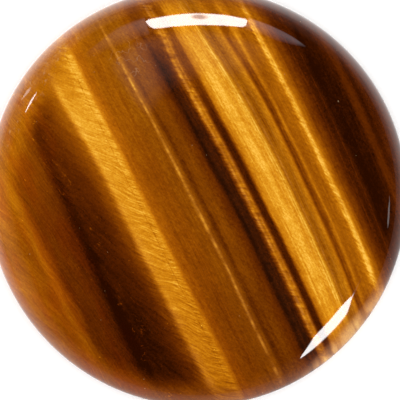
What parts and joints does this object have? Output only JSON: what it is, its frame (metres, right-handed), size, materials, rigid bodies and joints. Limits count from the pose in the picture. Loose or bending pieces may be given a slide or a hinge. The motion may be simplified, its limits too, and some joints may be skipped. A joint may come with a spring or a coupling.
{
  "type": "polished tigers eye cabochon",
  "caption": "Round polished tiger's eye stone with a low domed face, soft girdle and flat back, banded in gold, amber and dark brown.",
  "frame": {"origin": "centre of the flat back, which the stone rests on", "axes": "+Z out of the domed face; +Y towards the top of the picture and +X towards its right, so the bands run from -X +Y down to +X -Y"},
  "size_m": [0.03, 0.0299, 0.0059],
  "materials": {
    "tigers_eye": "high polish over chatoyant gold, amber and dark brown bands"
  },
  "bodies": {
    "root": {"stone": "tigers_eye"}
  },
  "joints": []
}
